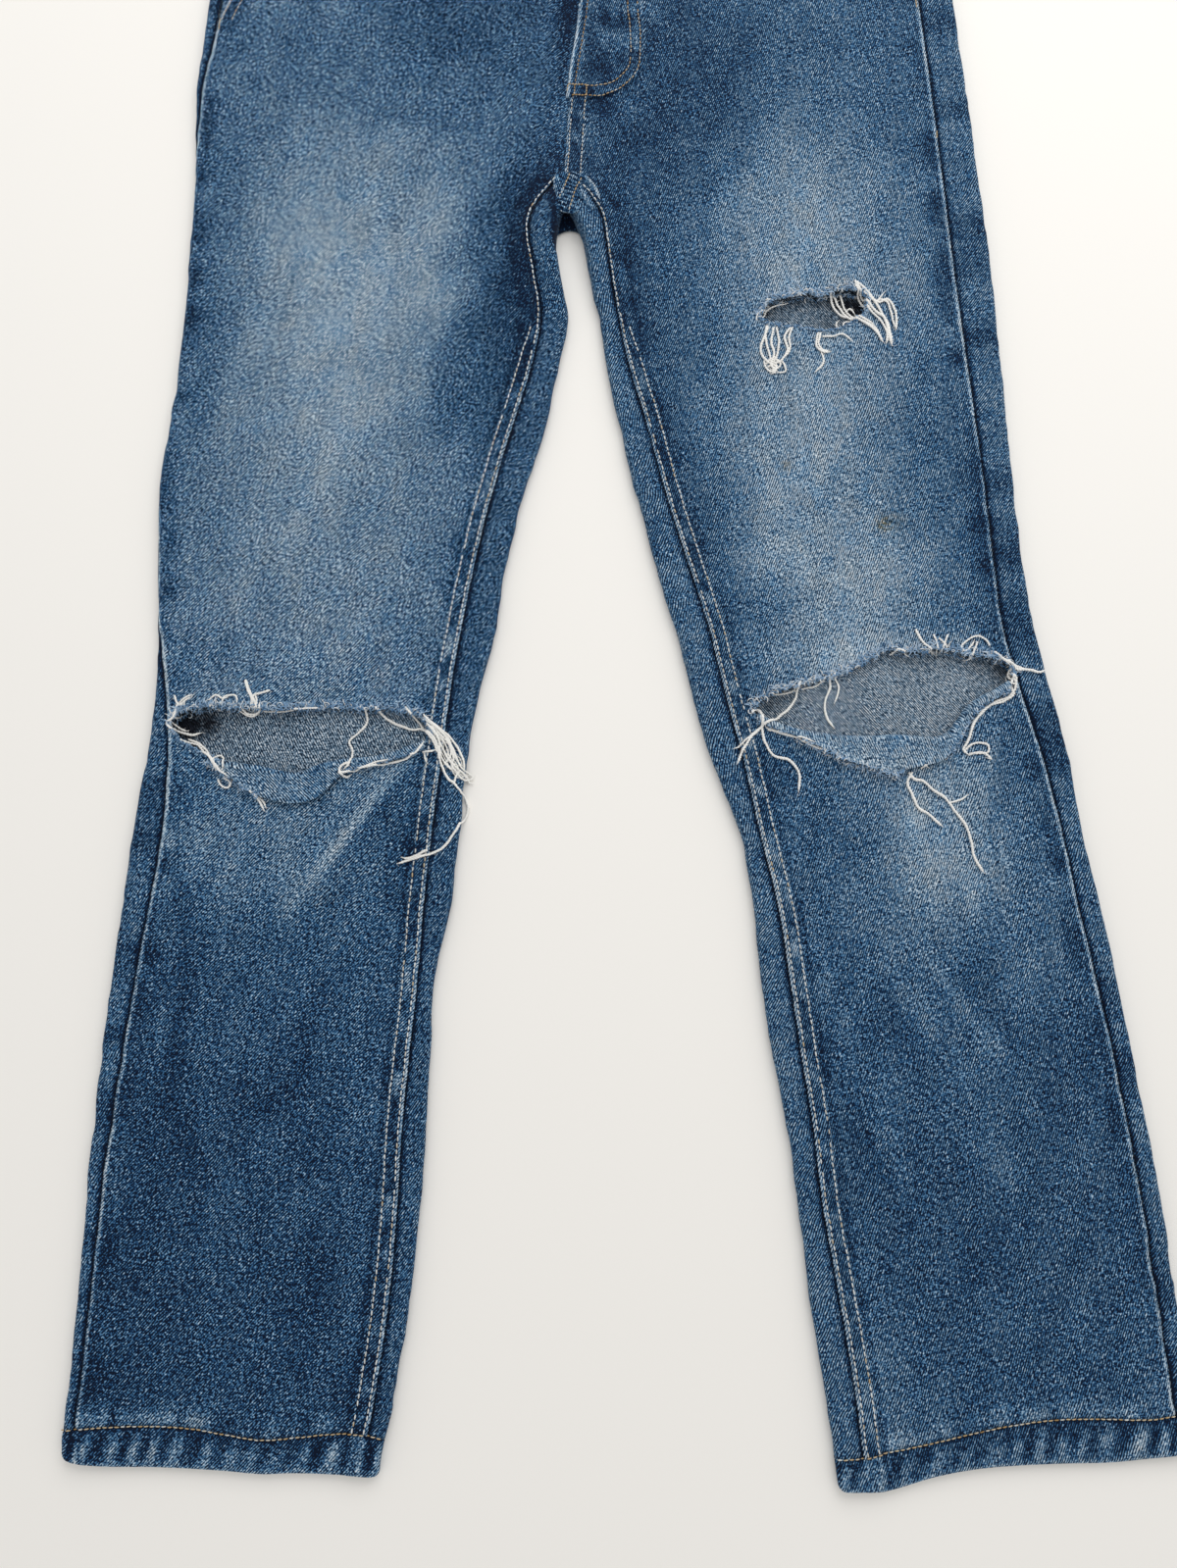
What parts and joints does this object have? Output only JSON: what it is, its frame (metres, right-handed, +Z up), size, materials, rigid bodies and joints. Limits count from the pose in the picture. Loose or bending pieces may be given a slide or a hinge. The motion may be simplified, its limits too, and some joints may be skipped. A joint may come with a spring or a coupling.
{
  "type": "ripped jeans laid flat",
  "caption": "Straight-leg denim jeans laid flat with the front up, faded thighs, torn knees with loose yarns, felled seams, lapped fly and waistband button.",
  "frame": {"origin": "middle of the garment's outline, on the surface it lies on", "axes": "+Y from the hems to the waist, +Z up from the front of the garment, +X towards the wearer's left leg"},
  "size_m": [0.584, 1.0232, 0.0126],
  "materials": {
    "denim": "washed indigo twill",
    "faded_denim": "indigo twill, faded over the thighs",
    "denim_reverse": "wrong side of the twill",
    "yarn": "undyed cotton yarn",
    "button_metal": "aged coppered brass"
  },
  "bodies": {
    "root": {"front_panel_right": "faded_denim", "front_panel_left": "faded_denim", "back_panel_right": "denim", "back_panel_left": "denim", "pocket_facing_right": "denim", "pocket_facing_left": "denim", "fly_lap": "denim", "centre_front_seam": "denim", "inseam_right": "denim", "inseam_left": "denim", "hem_right": "denim", "hem_left": "denim", "waistband": "denim", "waist_button": "button_metal", "knee_lip_right": "denim_reverse", "knee_lip_left": "denim_reverse", "fray_knee_right": "yarn", "fray_knee_left": "yarn", "fray_thigh_left": "yarn"}
  },
  "joints": []
}
